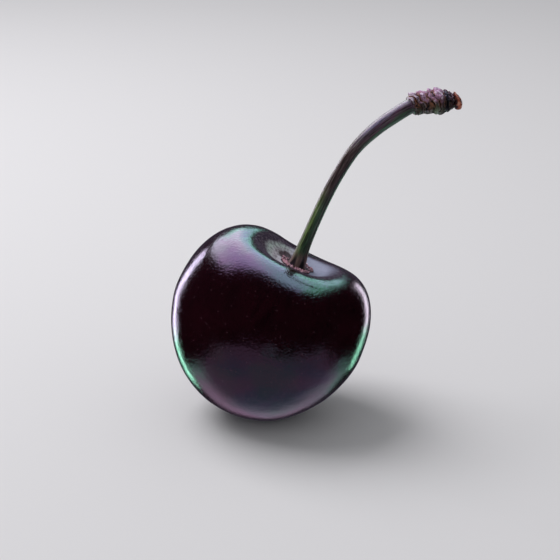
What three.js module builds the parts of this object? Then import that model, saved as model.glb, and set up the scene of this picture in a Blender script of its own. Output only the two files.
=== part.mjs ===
import * as THREE from 'three';

// A dark sweet cherry, as picked. The heart-shaped fruit rests on a small flat spot and leans to its right.
// The stem rises out of the hollow at its top, curves over, and ends in a swollen, wrinkled knob.
// Millimetres, +Z up, the origin in the middle of the flat spot, +X towards the end of the stem.

// The fruit in its own frame, with its axis upright and its widest circle at height 0.
const fruitRadius = 12.79;
const tipDepth = 13.63;
const tipBluntness = 9.4;
const bellyFullness = 3.9;
const shoulderFullness = 6.2;
const rimRadius = 6.7;
const rimHeight = 9.65;
const rimRoundness = 3.35;
const cheekSpread = 0.028;
const leanDegrees = 22;

// The rim of the hollow rises and widens in a few slow waves round the fruit.
const rimRises = [
  { waves: 1, size: 0.36, towards: 219 },
  { waves: 2, size: 0.48, towards: -21.5 },
  { waves: 3, size: 0.23, towards: 8.6 },
];
const rimSpreads = [
  { waves: 1, size: 0.16, towards: 0 },
  { waves: 2, size: 0.22, towards: 0 },
];

// A shallow seam runs down the back, and the tip keeps a small dimple where the flower's style stood.
const seamDepth = 0.16;
const seamHalfWidth = 1.1;
const seamDegrees = 96;
const dimpleDepth = 0.22;
const dimpleRadius = 0.8;

// The hollow's floor is a flat seat, set a little off the axis, with a blind pocket for the stem's foot.
const seatRadius = 2.4;
const seatHeight = 8.45;
const seatAside = 0.5;
const hollowSteepness = 2.3;
const pocketRadius = 1.3;
const pocketDepth = 0.9;

// How the fruit stands: its middle is this high above the flat spot, and this far beside it.
const centreHeight = 13.2;
const centreAside = 0.42;

// The stem, measured along its length from the bottom of its foot to the end of its knob.
const fit = 0.05;
const stemRadius = 0.775;
const stemWidening = 0.2;
const wideningStart = 15;
const footRadius = pocketRadius - fit;
const footTaper = 1.9;
const fluteCount = 5;
const fluteDepth = 0.13;
const knobLength = 5.9;
const knobStartRadius = 1.42;
const knobFullRadius = 1.66;
const knobFullAt = 3.9;
const knobEndRadius = 1.05;
const collarLength = 0.35;
const foldSpacing = 0.9;
const foldDepth = 0.24;
const cupRadius = 0.62;
const cupDepth = 0.4;

// The stem's curve above the hollow, as points from the middle of the fruit.
const stemCurve = [
  [4.62, 0, 10.4],
  [5.96, 0, 13.71],
  [7.37, 0, 16.97],
  [9.01, 0, 20.2],
  [11.03, 0.3, 23.35],
  [13.35, 0.9, 25.6],
  [15.6, 1.5, 27.15],
  [18.75, 2.4, 28.8],
  [21.2, 3.12, 29.0],
  [23.75, 3.9, 28.87],
];

// The ragged ring of pale tissue round the stem's foot.
const ringInner = footRadius + 0.08;
const ringOuter = 2.2;
const ringHeight = 0.5;

// The dry scale that curls over the end of the knob.
const scaleHalfHeight = 1.12;
const scaleHalfDepth = 0.8;
const scaleHalfThickness = 0.36;
const scaleCurl = 0.42;
const scaleRise = 0.58;
const scaleRootSpread = 0.09;

// How finely each piece is divided.
const fruitSides = 60;
const stemSides = 24;
const ringSides = 44;
const footRings = { count: 6, spacing: 0.35 };
const shaftRings = 30;
const knobRings = 34;
const routeSteps = 600;

const finishes = {
  fruit: { color: 0x1a060c, roughness: 0.22, metalness: 0 },
  stem: { color: 0x5d6b3a, roughness: 0.6, metalness: 0 },
  receptacle_ring: { color: 0x9c6a6c, roughness: 0.75, metalness: 0 },
  end_scale: { color: 0xa04a26, roughness: 0.7, metalness: 0 },
};

function radians(degrees) {
  return THREE.MathUtils.degToRad(degrees);
}

function waveSum(terms, azimuth) {
  let total = 0;
  for (const term of terms) {
    total += term.size * Math.cos(term.waves * (azimuth - radians(term.towards)));
  }
  return total;
}

// Moves every vertex of a geometry through a function of its place.
function reshape(geometry, move) {
  const places = geometry.getAttribute('position');
  const point = new THREE.Vector3();
  for (let i = 0; i < places.count; i += 1) {
    point.fromBufferAttribute(places, i);
    move(point);
    places.setXYZ(i, point.x, point.y, point.z);
  }
  places.needsUpdate = true;
  return geometry;
}

// Turns a profile round +Z. Its points are (radius, height) and run from the bottom to the top.
function turned(profile, sides) {
  const points = profile.map(([radius, height]) => new THREE.Vector2(radius, height));
  return new THREE.LatheGeometry(points, sides).rotateX(Math.PI / 2);
}

function namedMesh(name, geometry) {
  geometry.computeVertexNormals();
  const mesh = new THREE.Mesh(geometry, new THREE.MeshStandardMaterial(finishes[name]));
  mesh.name = name;
  return mesh;
}

// One cubic curve of the outline between two places, without its first point.
function outlineCurve(start, leave, arrive, end, steps) {
  const corners = [start, leave, arrive, end].map(([radius, height]) => new THREE.Vector2(radius, height));
  const curve = new THREE.CubicBezierCurve(...corners);
  return curve.getPoints(steps).slice(1).map((point) => [point.x, point.y]);
}

// The fruit's outline from the tip, round the belly and shoulder, over the rim and into the pocket.
function fruitOutline() {
  const tip = [0, -tipDepth];
  const equator = [fruitRadius, 0];
  const rim = [rimRadius, rimHeight];
  const seat = [seatRadius, seatHeight];
  return [
    tip,
    ...outlineCurve(tip, [tipBluntness, -tipDepth], [fruitRadius, -bellyFullness], equator, 18),
    ...outlineCurve(equator, [fruitRadius, shoulderFullness], [rimRadius + rimRoundness, rimHeight], rim, 12),
    ...outlineCurve(rim, [rimRadius - hollowSteepness, rimHeight], [seatRadius + 1, seatHeight], seat, 8),
    [pocketRadius, seatHeight],
    [pocketRadius, seatHeight - pocketDepth],
    [0, seatHeight - pocketDepth],
  ];
}

// Gives a point of the plain turned fruit its cheeks, its uneven rim, its seam and its tip dimple.
function shapeFruit(point) {
  const radius = Math.hypot(point.x, point.y);
  const azimuth = Math.atan2(point.y, point.x);
  const inside = THREE.MathUtils.smoothstep(radius, seatRadius, rimRadius);
  const top = Math.max(point.z / rimHeight, 0) ** 2 * inside;
  const below = Math.max(-point.z / tipDepth, 0);
  const round = THREE.MathUtils.smoothstep(radius, pocketRadius, seatRadius);
  const cheeks = 1 + cheekSpread * Math.cos(2 * azimuth) * round;
  const offSeam = radius * Math.sin(azimuth - radians(seamDegrees));
  const onSeamSide = Math.max(Math.cos(azimuth - radians(seamDegrees)), 0);
  const seam = seamDepth * onSeamSide * Math.exp(-((offSeam / seamHalfWidth) ** 2));
  const inHollow = point.z > 0 && radius < rimRadius;
  const outer = inHollow ? inside : 1;
  const reach = radius * cheeks + top * waveSum(rimSpreads, azimuth) - seam * outer * (1 - below ** 4);
  const hollowShift = inHollow ? seatAside * (1 - inside) : 0;
  point.x = reach * Math.cos(azimuth) + hollowShift;
  point.y = reach * Math.sin(azimuth);
  point.z += top * waveSum(rimRises, azimuth);
  if (below > 0) {
    point.z += dimpleDepth * Math.exp(-((radius / dimpleRadius) ** 2));
  }
}

// Presses whatever would reach below the resting surface up to it, which leaves the flat spot.
function pressFlat(geometry, toPart) {
  const back = toPart.clone().invert();
  return reshape(geometry, (point) => {
    point.applyMatrix4(toPart);
    point.z = Math.max(point.z, 0);
    point.applyMatrix4(back);
  });
}

function makeFruit(toPart) {
  const geometry = turned(fruitOutline(), fruitSides);
  reshape(geometry, shapeFruit);
  return namedMesh('fruit', pressFlat(geometry, toPart));
}

// The ring round the stem's foot: a low lumpy band whose outer edge is torn, fuller on the left.
function shapeRing(point) {
  const azimuth = Math.atan2(point.y, point.x);
  const radius = Math.hypot(point.x, point.y);
  const across = (radius - ringInner) / (ringOuter - ringInner);
  const lumps = 0.5 * Math.sin(5 * azimuth + 0.6) + 0.3 * Math.sin(9 * azimuth + 2) - 0.35 * Math.cos(azimuth);
  const reach = radius * (1 + 0.06 * lumps * across);
  point.x = reach * Math.cos(azimuth);
  point.y = reach * Math.sin(azimuth);
  point.z *= 1 + 0.45 * lumps;
}

function makeRing() {
  const profile = [
    [ringInner, 0],
    [ringOuter, 0],
    [ringOuter, 0.3 * ringHeight],
    [ringOuter - 0.25, 0.75 * ringHeight],
    [(ringInner + ringOuter) / 2, ringHeight],
    [ringInner + 0.12, 0.8 * ringHeight],
    [ringInner, 0.4 * ringHeight],
    [ringInner, 0],
  ];
  const mesh = namedMesh('receptacle_ring', reshape(turned(profile, ringSides), shapeRing));
  mesh.position.set(seatAside, 0, seatHeight + fit);
  return mesh;
}

// The stem's route from the bottom of the pocket: up the fruit's own axis, then over in its curve.
function stemRoute(toStem) {
  const footHeights = [seatHeight - pocketDepth + fit, seatHeight - 0.1, seatHeight + 0.8];
  const foot = footHeights.map((height) => new THREE.Vector3(seatAside, 0, height).applyMatrix4(toStem));
  const above = stemCurve.map((place) => new THREE.Vector3(...place));
  const route = new THREE.CatmullRomCurve3([...foot, ...above]);
  route.arcLengthDivisions = routeSteps;
  return route;
}

// The plain radius of the knob at a distance from its start.
function knobRadius(along) {
  if (along < knobFullAt) {
    const rise = THREE.MathUtils.smoothstep(along, 0, knobFullAt);
    return THREE.MathUtils.lerp(knobStartRadius, knobFullRadius, rise);
  }
  const fall = ((along - knobFullAt) / (knobLength - knobFullAt)) ** 2;
  return THREE.MathUtils.lerp(knobFullRadius, knobEndRadius, fall);
}

function stemRadiusAt(along, stemLength) {
  const foot = (footRadius - stemRadius) * Math.exp(-(Math.max(along - pocketDepth, 0) / footTaper));
  const widening = stemWidening * THREE.MathUtils.smoothstep(along, wideningStart, stemLength - knobLength);
  const plain = stemRadius + foot + widening;
  const onKnob = along - (stemLength - knobLength);
  if (onKnob <= 0) {
    return plain;
  }
  const collar = Math.sqrt(Math.min(onKnob / collarLength, 1));
  return THREE.MathUtils.lerp(plain, knobRadius(onKnob), collar);
}

// How far the surface stands in or out of the plain radius: flutes at the foot and folds on the knob.
function stemRelief(along, azimuth, stemLength) {
  const onKnob = along - (stemLength - knobLength);
  if (onKnob <= 0) {
    const aboveSeat = Math.max(along - pocketDepth - 0.1, 0);
    const strength = Math.min(aboveSeat, 1) * Math.exp(-aboveSeat / footTaper);
    return fluteDepth * strength * (Math.cos(fluteCount * azimuth + 0.5) - 1);
  }
  const wander = 0.16 * Math.sin(azimuth + 0.7) + 0.11 * Math.sin(2 * azimuth + 2.1) + 0.05 * Math.sin(5 * azimuth);
  const fold = Math.abs(Math.sin(Math.PI * (onKnob + wander) / foldSpacing));
  const uneven = 1 + 0.35 * Math.sin(3 * azimuth + 2.4 * onKnob);
  const fade = Math.min(onKnob / collarLength, 1);
  return foldDepth * fade * uneven * (fold - 0.75);
}

// Lengths along the stem where it has a ring of vertices: close on the foot and knob, wider between.
function stemStations(stemLength) {
  const knobStart = stemLength - knobLength;
  const shaftStart = pocketDepth + footRings.count * footRings.spacing;
  const stations = [0, pocketDepth];
  for (let i = 1; i <= footRings.count; i += 1) {
    stations.push(pocketDepth + footRings.spacing * i);
  }
  for (let i = 1; i <= shaftRings; i += 1) {
    stations.push(THREE.MathUtils.lerp(shaftStart, knobStart, i / shaftRings));
  }
  for (let i = 1; i <= knobRings; i += 1) {
    stations.push(knobStart + knobLength * i / knobRings);
  }
  return stations;
}

// Lays a straight shape that stands on +Z along a route: height becomes distance along it.
function bendAlong(geometry, route, length) {
  const frames = route.computeFrenetFrames(routeSteps, false);
  return reshape(geometry, (point) => {
    const share = THREE.MathUtils.clamp(point.z / length, 0, 1);
    const step = Math.round(share * routeSteps);
    const overshoot = point.z - share * length;
    const place = route.getPointAt(share);
    place.addScaledVector(frames.normals[step], point.x);
    place.addScaledVector(frames.binormals[step], point.y);
    place.addScaledVector(frames.tangents[step], overshoot);
    point.copy(place);
  });
}

function makeStem(route) {
  const length = route.getLength();
  const wall = stemStations(length).map((along) => [stemRadiusAt(along, length), along]);
  const profile = [
    [0, 0],
    ...wall,
    [cupRadius, length],
    [cupRadius, length - cupDepth],
    [0, length - cupDepth],
  ];
  const geometry = turned(profile, stemSides);
  reshape(geometry, (point) => {
    const radius = Math.hypot(point.x, point.y);
    if (radius <= cupRadius + fit) {
      return;
    }
    const azimuth = Math.atan2(point.y, point.x);
    const grown = 1 + stemRelief(point.z, azimuth, length) / radius;
    point.x *= grown;
    point.y *= grown;
  });
  return namedMesh('stem', bendAlong(geometry, route, length));
}

// The dry scale: a thin leaf on a short root in the knob's cup, curling back round the knob's end.
function makeScale(route) {
  const length = route.getLength();
  const rootLength = scaleRise - scaleHalfThickness + cupDepth - fit;
  const geometry = reshape(new THREE.SphereGeometry(1, 18, 14), (point) => {
    const across = point.x ** 2 + point.y ** 2;
    const leaf = scaleHalfThickness * Math.sign(point.z) * Math.abs(point.z) ** 0.7;
    const root = rootLength * Math.max(-point.z, 0) * Math.exp(-across / scaleRootSpread);
    point.x *= scaleHalfHeight;
    point.y *= scaleHalfDepth;
    point.z = length + scaleRise + leaf - scaleCurl * across - root;
  });
  return namedMesh('end_scale', bendAlong(geometry, route, length));
}

const leaning = new THREE.Group();
leaning.rotation.y = radians(leanDegrees);
leaning.position.set(centreAside, 0, centreHeight);
leaning.updateMatrix();

const upright = new THREE.Group();
upright.position.copy(leaning.position);

const stemLine = stemRoute(new THREE.Matrix4().makeRotationY(radians(leanDegrees)));

leaning.add(makeFruit(leaning.matrix), makeRing());
upright.add(makeStem(stemLine), makeScale(stemLine));

const cherry = new THREE.Group();
cherry.add(leaning, upright);

export default cherry;
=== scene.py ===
import math

import bpy
import numpy as np
from bpy.props import FloatProperty, FloatVectorProperty, PointerProperty
from bpy.types import Operator, Panel, PropertyGroup
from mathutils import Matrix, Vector


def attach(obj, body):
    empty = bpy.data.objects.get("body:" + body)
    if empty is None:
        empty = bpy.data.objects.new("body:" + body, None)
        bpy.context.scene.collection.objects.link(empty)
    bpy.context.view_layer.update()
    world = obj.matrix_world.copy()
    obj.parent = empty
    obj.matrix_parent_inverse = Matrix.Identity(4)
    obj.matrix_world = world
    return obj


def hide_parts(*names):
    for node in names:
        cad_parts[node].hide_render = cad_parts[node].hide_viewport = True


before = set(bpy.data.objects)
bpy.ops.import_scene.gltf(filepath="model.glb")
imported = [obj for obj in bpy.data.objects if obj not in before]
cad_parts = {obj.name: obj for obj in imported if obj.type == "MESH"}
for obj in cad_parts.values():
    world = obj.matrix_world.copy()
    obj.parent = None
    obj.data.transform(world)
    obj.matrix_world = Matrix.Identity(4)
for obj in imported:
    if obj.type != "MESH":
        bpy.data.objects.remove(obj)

bl_info = {
    "name": "Dark sweet cherry",
    "version": (1, 0, 0),
    "blender": (4, 5, 0),
    "location": "3D View > Sidebar > Cherry",
    "description": "Builds a dark sweet cherry on its curved stem, with its skin, bark and dry parts",
    "category": "Add Mesh",
}

# Shapes are worked out in millimetres and written into the meshes in metres.
MM = 0.001

# The fruit in its own frame, upright, with its widest circle at height 0.
TIP_BLUNTNESS = 9.4
BELLY_FULLNESS = 3.9
SHOULDER_FULLNESS = 6.2
RIM_ROUNDNESS = 3.35
CHEEK_SPREAD = 0.028
RIM_RISES = ((1, 0.36, 219.0), (2, 0.48, -21.5), (3, 0.23, 8.6))
RIM_SPREADS = ((1, 0.16, 0.0), (2, 0.22, 0.0))
SEAM_DEPTH = 0.16
SEAM_HALF_WIDTH = 1.1
SEAM_AZIMUTH = math.radians(96.0)
DIMPLE_DEPTH = 0.22
DIMPLE_RADIUS = 0.8
SEAT_RADIUS = 2.4
SEAT_HEIGHT = 8.45
SEAT_ASIDE = 0.5
HOLLOW_STEEPNESS = 2.3
POCKET_RADIUS = 1.3
POCKET_DEPTH = 0.9
SEAT_FLARE = 1.0
INNERMOST_RADIUS = 0.25

# A thin crease follows the front of the rim, a little outside it.
CREASE_RADIUS = 7.3
CREASE_DEPTH = 0.035
CREASE_HALF_WIDTH = 0.16
CREASE_MIDDLE = math.radians(-64.0)
CREASE_HALF_LENGTH = math.radians(26.0)

# The stem, measured along its length from the bottom of its foot to the end of its knob.
FIT = 0.05
STEM_WIDENING = 0.2
WIDENING_START = 15.0
FOOT_RADIUS = POCKET_RADIUS - FIT
FOOT_TAPER = 1.9
FLUTE_COUNT = 5
FLUTE_DEPTH = 0.16
KNOB_LENGTH = 5.9
KNOB_START_SHARE = 0.855
KNOB_FULL_AT = 3.9
KNOB_END_SHARE = 0.633
COLLAR_LENGTH = 0.35
FOLD_DEPTH = 0.34
FOLD_MEAN = 0.66
CUP_DEPTH = 0.4
FOOT_HEIGHTS = (SEAT_HEIGHT - POCKET_DEPTH + FIT, SEAT_HEIGHT - 0.1, SEAT_HEIGHT + 0.8)
STEM_CURVE = (
    (4.62, 0.0, 10.4),
    (5.96, 0.0, 13.71),
    (7.37, 0.0, 16.97),
    (9.01, 0.0, 20.2),
    (11.03, 0.3, 23.35),
    (13.35, 0.9, 25.6),
    (15.6, 1.5, 27.15),
    (18.75, 2.4, 28.8),
    (21.2, 3.12, 29.0),
    (23.75, 3.9, 28.87),
)
# Where the grooves between the knob's folds run, from its collar, and how strong each fold is.
FOLD_GROOVES = (-0.6, 0.15, 0.86, 1.55, 2.62, 3.5, 4.58, 5.0, 5.48, 6.1, 6.8)
FOLD_STRENGTHS = (0.7, 1.25, 1.05, 0.62, 0.95, 1.25, 0.2, 0.85, 0.7, 0.6)
UNDERSIDE_RELIEF = 0.4
# The ragged lip and the cup at the knob's end: each ring's share of the radius, and its place past the end.
CUP_RINGS = ((1.02, 0.06), (0.84, 0.02), (0.70, -0.12), (0.62, -0.28), (0.5, -CUP_DEPTH), (0.22, -CUP_DEPTH))

RING_INNER = FOOT_RADIUS + 0.08
SCALE_CURL = 0.42
SCALE_TILT = 0.42
SCALE_HALF_DEPTH = 0.8
SCALE_THICKNESS = 0.34
CUSHION_SHARE = 0.9

# The random values along each side of the noise's lattice, and a shift that keeps places on it positive.
LATTICE_SIZE = 32
LATTICE_SHIFT = 500.0

# Marks on the knob, by their distance from its collar: a dark band and a green patch.
DUSK_AT = 4.75
DUSK_HALF_WIDTH = 0.36
GREEN_AT = 3.2
GREEN_HALF_LENGTH = 0.45
GREEN_AZIMUTH = math.radians(38.0)
GREEN_HALF_WIDTH = math.radians(30.0)

# The painted reflection in the hollow reaches this far out, and a dark patch lies by the stem.
HOLLOW_REACH = 4.4
PATCH_AZIMUTH = math.radians(124.0)
PATCH_HALF_WIDTH = math.radians(24.0)
SKIN_IOR = 1.7

# How finely the meshes are divided: rows of points along each piece, and sides round it.
BELLY_ROWS = 84
SHOULDER_ROWS = 74
HOLLOW_ROWS = 46
LEDGE_ROWS = 4
POCKET_ROWS = 3
FRUIT_SIDES = 320
ROUTE_STATIONS = 900
SPAN_STEPS = 80
FOOT_ROWS = 4
SHAFT_ROWS = 230
KNOB_ROWS = 150
STEM_SIDES = 104
RING_ROWS = 40
RING_SIDES = 240
SCALE_ROWS = 64
SCALE_SIDES = 120
DOME_ROWS = 120
DOME_SIDES = 240
FLOOR_SIDES = 96

# The studio that the fruit mirrors: how bright each lamp is, and the colours of its light.
DOME_RADIUS = 600.0
PANEL_LEVEL = 5.8
PANEL_WHITE = (0.86, 0.78, 1.0)
PANEL_PURPLE = (0.77, 0.53, 1.0)
PANEL_PINK = (0.92, 0.70, 1.0)
PANEL_BLUE = (0.58, 0.70, 1.0)
PANEL_MINT = (0.37, 1.0, 0.76)
PANEL_RIGHT_EDGE = 0.94
PANEL_ROUNDING = 0.4
PANEL_SOFTNESS = 0.2
STRIP_MINT = (0.315, 0.75, 0.54)
HAZE_LEVEL = 0.11
HAZE_LILAC = (0.80, 0.66, 1.0)
TABLE_BLUE = (0.38, 0.46, 0.74)
TABLE_MAUVE = (0.62, 0.36, 0.58)
TABLE_RIM = (0.72, 0.60, 0.82)
TABLE_TEAL = (0.28, 0.56, 0.60)
TABLE_TEAL_RIM = (0.52, 0.84, 0.80)
TABLE_PINK = (0.70, 0.44, 0.72)
TABLE_PINK_RIM = (0.88, 0.54, 0.84)
TABLE_CORNER = (0.42, 0.80, 0.74)
# Each strip's middle and half size in degrees, then its slant, softness, level and colour.
STRIPS = (
    ((-141.2, -11.0), (5.4, 29.0), 0.0, 2.2, 9.5, (0.86, 0.72, 1.0)),
    ((143.5, -13.0), (6.0, 25.0), 0.25, 3.0, 6.0, (0.96, 0.84, 1.0)),
)

# The floor, the soft key light and the even light.
FLOOR_RADIUS = 1.5
KEY_PLACE = (-0.20, 0.12, 0.34)
KEY_TARGET = (0.0, 0.0, 0.013)
KEY_SIZE = 0.3
KEY_COLOUR = (1.0, 0.98, 1.0)
EVEN_COLOUR = (0.9, 0.9, 0.92, 1.0)

# The camera stands where the photograph's stood.
CAMERA_PLACE = (0.001889, -0.193072, 0.089135)
CAMERA_TARGET = (0.001889, 0.001820, 0.018200)
CAMERA_LENS = 100.0
CAMERA_SENSOR = 36.0


def eased(values, low, high):
    """0 below low, 1 above high, and an eased share between them."""
    share = np.clip((np.asarray(values, float) - low) / (high - low), 0.0, 1.0)
    return share * share * (3.0 - 2.0 * share)


def mixed(first, second, share):
    """The first value moved towards the second by a share."""
    return first + (second - first) * share


def bell(values, middle, half_width):
    """1 at the middle, falling off on both sides as a bell curve."""
    return np.exp(-(((values - middle) / half_width) ** 2))


def wave_sum(terms, azimuth):
    """The sum of slow waves round the fruit: size times the cosine of waves times the angle from its peak."""
    return sum(size * np.cos(waves * (azimuth - math.radians(peak))) for waves, size, peak in terms)


def lattice_noise(points, size, seed):
    """Smooth noise from -1 to 1. Random values stand on a cubic lattice of that size, and a point takes
    the eight values round it, each weighted by its eased nearness along the three axes."""
    table = np.random.default_rng(seed).random((LATTICE_SIZE,) * 3) * 2.0 - 1.0
    place = points / size + LATTICE_SHIFT
    cell = np.floor(place).astype(int)
    share = eased(place - cell, 0.0, 1.0)
    total = np.zeros(points.shape[:-1])
    for corner in np.ndindex(2, 2, 2):
        weight = np.prod(np.where(corner, share, 1.0 - share), axis=-1)
        index = (cell + corner) % LATTICE_SIZE
        total += weight * table[index[..., 0], index[..., 1], index[..., 2]]
    return total


def layered_noise(points, size, seed, layers=3):
    """Lattice noise with finer layers on it, each half as large and half as strong as the one before."""
    total = np.zeros(points.shape[:-1])
    for layer in range(layers):
        total += lattice_noise(points, size / 2**layer, seed + layer) / 2**layer
    return total / (2.0 - 0.5 ** (layers - 1))


def cubic_curve(start, leave, arrive, end, count):
    """Points of a cubic Bezier curve from start to end, without its first point."""
    share = np.linspace(0.0, 1.0, count + 1)[1:, None]
    rest = 1.0 - share
    start, leave, arrive, end = map(np.array, (start, leave, arrive, end))
    return rest**3 * start + 3 * rest**2 * share * leave + 3 * rest * share**2 * arrive + share**3 * end


def straight_line(start, end, count):
    """Evenly spaced points from start to end, without the first."""
    return np.linspace(start, end, count + 1)[1:]


def noise_sum(points, terms):
    """The sum of strength times lattice noise of a size and seed over the terms."""
    return sum(strength * lattice_noise(points, size, seed) for strength, size, seed in terms)


def evenly_round(sides):
    """Angles evenly spaced once round, as one row."""
    return np.linspace(-math.pi, math.pi, sides, endpoint=False)[None, :]


def wrapped(azimuth, radius, height):
    """Points round the upright axis: radius times the azimuth's cosine and sine, and the height."""
    azimuth, radius, height = np.broadcast_arrays(azimuth, radius, height)
    return np.stack([radius * np.cos(azimuth), radius * np.sin(azimuth), height], axis=-1)


def sphere_rings(rows, sides):
    """Points of a unit sphere in level rings, from near its lower pole to near its upper one."""
    polar = np.linspace(0.0, math.pi, rows + 2)[1:-1][:, None]
    return wrapped(evenly_round(sides), np.sin(polar), -np.cos(polar))


def grid_normals(rings):
    """Unit normals of a grid of rings: the cross product of the way round and the way up."""
    around = np.roll(rings, -1, axis=1) - np.roll(rings, 1, axis=1)
    upward = np.gradient(rings, axis=0)
    normals = np.cross(around, upward)
    return normals / (np.linalg.norm(normals, axis=-1, keepdims=True) + 1e-12)


def grid_mesh(name, rings, poles=None, attributes=None):
    """A closed mesh from rings of points in millimetres, rows by sides. Quads join each ring to the next.
    With poles, fans close both ends; without, the last ring joins the first. Attributes are named numbers or
    vectors, one for each point of the rings."""
    rows, sides = rings.shape[:2]
    index = np.arange(rows * sides).reshape(rows, sides)
    onward = np.roll(index, -1, axis=1)
    low, high = index, np.roll(index, -1, axis=0)
    low_next, high_next = onward, np.roll(onward, -1, axis=0)
    if poles is not None:
        low, high, low_next, high_next = (part[:-1] for part in (low, high, low_next, high_next))
    faces = np.stack([low, low_next, high_next, high], axis=-1).reshape(-1, 4).tolist()
    points = rings.reshape(-1, 3)
    if poles is not None:
        first, last = rows * sides, rows * sides + 1
        faces += [(first, b, a) for a, b in zip(index[0], onward[0])]
        faces += [(a, b, last) for a, b in zip(index[-1], onward[-1])]
        points = np.vstack([points, poles])
    mesh = bpy.data.meshes.new(name)
    mesh.from_pydata((points * MM).tolist(), [], faces)
    for label, values in (attributes or {}).items():
        add_attribute(mesh, label, values, (rows, sides), poles is not None)
    mesh.shade_smooth()
    mesh.update()
    return mesh


def add_attribute(mesh, label, values, grid, has_poles):
    """Stores a number or a vector for each point of the grid. The poles take those of its first and last."""
    is_vector = np.ndim(values) > len(grid)
    kind, field = ("FLOAT_VECTOR", "vector") if is_vector else ("FLOAT", "value")
    values = np.reshape(values, (-1, 3)) if is_vector else np.broadcast_to(values, grid).reshape(-1, 1)
    if has_poles:
        values = np.concatenate([values, values[:1], values[-1:]])
    attribute = mesh.attributes.new(label, kind, "POINT")
    attribute.data.foreach_set(field, np.ascontiguousarray(values, dtype=np.float32).reshape(-1))


def fruit_turn(sizes):
    """The fruit's lean as a turn about +Y, which takes its top towards +X."""
    cos, sin = math.cos(sizes.lean), math.sin(sizes.lean)
    return np.array([[cos, 0.0, sin], [0.0, 1.0, 0.0], [-sin, 0.0, cos]])


def fruit_middle(sizes):
    return np.array([sizes.centre_aside, 0.0, sizes.centre_height]) / MM


def leaned(own, sizes):
    """Points of the upright fruit, leaned to its right and moved to where it rests."""
    return own @ fruit_turn(sizes).T + fruit_middle(sizes)


def fruit_outline(sizes):
    """The fruit's outline as (radius, height): cubic curves from the tip round the belly and shoulder to
    the rim, and down the hollow to its seat, then straight lines into the pocket."""
    radius, tip_depth = sizes.fruit_radius / MM, sizes.tip_depth / MM
    rim_radius, rim_height = sizes.rim_radius / MM, sizes.rim_height / MM
    tip, equator, rim = (0.0, -tip_depth), (radius, 0.0), (rim_radius, rim_height)
    seat, mouth = (SEAT_RADIUS, SEAT_HEIGHT), (POCKET_RADIUS, SEAT_HEIGHT)
    corner = (POCKET_RADIUS, SEAT_HEIGHT - POCKET_DEPTH)
    last = (INNERMOST_RADIUS, SEAT_HEIGHT - POCKET_DEPTH)
    round_tip, below_equator = (TIP_BLUNTNESS, -tip_depth), (radius, -BELLY_FULLNESS)
    above_equator, outside_rim = (radius, SHOULDER_FULLNESS), (rim_radius + RIM_ROUNDNESS, rim_height)
    inside_rim, by_seat = (rim_radius - HOLLOW_STEEPNESS, rim_height), (SEAT_RADIUS + SEAT_FLARE, SEAT_HEIGHT)
    return np.vstack(
        [
            cubic_curve(tip, round_tip, below_equator, equator, BELLY_ROWS),
            cubic_curve(equator, above_equator, outside_rim, rim, SHOULDER_ROWS),
            cubic_curve(rim, inside_rim, by_seat, seat, HOLLOW_ROWS),
            straight_line(seat, mouth, LEDGE_ROWS),
            straight_line(mouth, corner, POCKET_ROWS),
            straight_line(corner, last, POCKET_ROWS),
        ]
    )


def shaped_fruit(radius, height, azimuth, sizes):
    """The plain turned fruit with its cheeks, uneven rim, back seam and tip dimple, in its own frame.
    The cheeks widen it along X, slow waves lift and spread the rim, a bell-shaped groove runs down the
    back, and the hollow's floor is moved a little off the axis."""
    rim_radius = sizes.rim_radius / MM
    inside = eased(radius, SEAT_RADIUS, rim_radius)
    top = np.maximum(height * MM / sizes.rim_height, 0.0) ** 2 * inside
    below = np.maximum(-height * MM / sizes.tip_depth, 0.0)
    round_part = eased(radius, POCKET_RADIUS, SEAT_RADIUS)
    cheeks = 1.0 + CHEEK_SPREAD * np.cos(2.0 * azimuth) * round_part
    off_seam = radius * np.sin(azimuth - SEAM_AZIMUTH)
    seam_side = np.maximum(np.cos(azimuth - SEAM_AZIMUTH), 0.0)
    seam = SEAM_DEPTH * seam_side * bell(off_seam, 0.0, SEAM_HALF_WIDTH)
    in_hollow = (height > 0.0) & (radius < rim_radius)
    outer = np.where(in_hollow, inside, 1.0)
    reach = radius * cheeks + top * wave_sum(RIM_SPREADS, azimuth) - seam * outer * (1.0 - below**4)
    aside = np.where(in_hollow, SEAT_ASIDE * (1.0 - inside), 0.0)
    dimple = np.where(below > 0.0, DIMPLE_DEPTH * bell(radius, 0.0, DIMPLE_RADIUS), 0.0)
    lifted = height + top * wave_sum(RIM_RISES, azimuth) + dimple
    own = wrapped(azimuth, reach, lifted)
    own[..., 0] += aside
    return own


def skin_relief(own, radius, azimuth, in_hollow):
    """How far the skin stands out of the plain form: broad and finer swells of lattice noise, faint pleats
    that run down the hollow's wall, and a crease along the front of the rim."""
    swells = noise_sum(own, ((0.05, 5.2, 11), (0.022, 2.1, 12), (0.008, 0.9, 13)))
    wall = eased(radius, SEAT_RADIUS, SEAT_RADIUS + 0.8) * (1.0 - eased(radius, 4.6, 6.6))
    pleats = 0.03 * layered_noise(wrapped(azimuth, 5.0, radius * 0.25), 0.9, 21) * wall * in_hollow
    line = bell(radius, CREASE_RADIUS, CREASE_HALF_WIDTH)
    stretch = bell(azimuth, CREASE_MIDDLE, CREASE_HALF_LENGTH) ** 2
    crease = CREASE_DEPTH * line * stretch * (own[..., 2] > 0.0)
    return swells + pleats - crease


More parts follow.
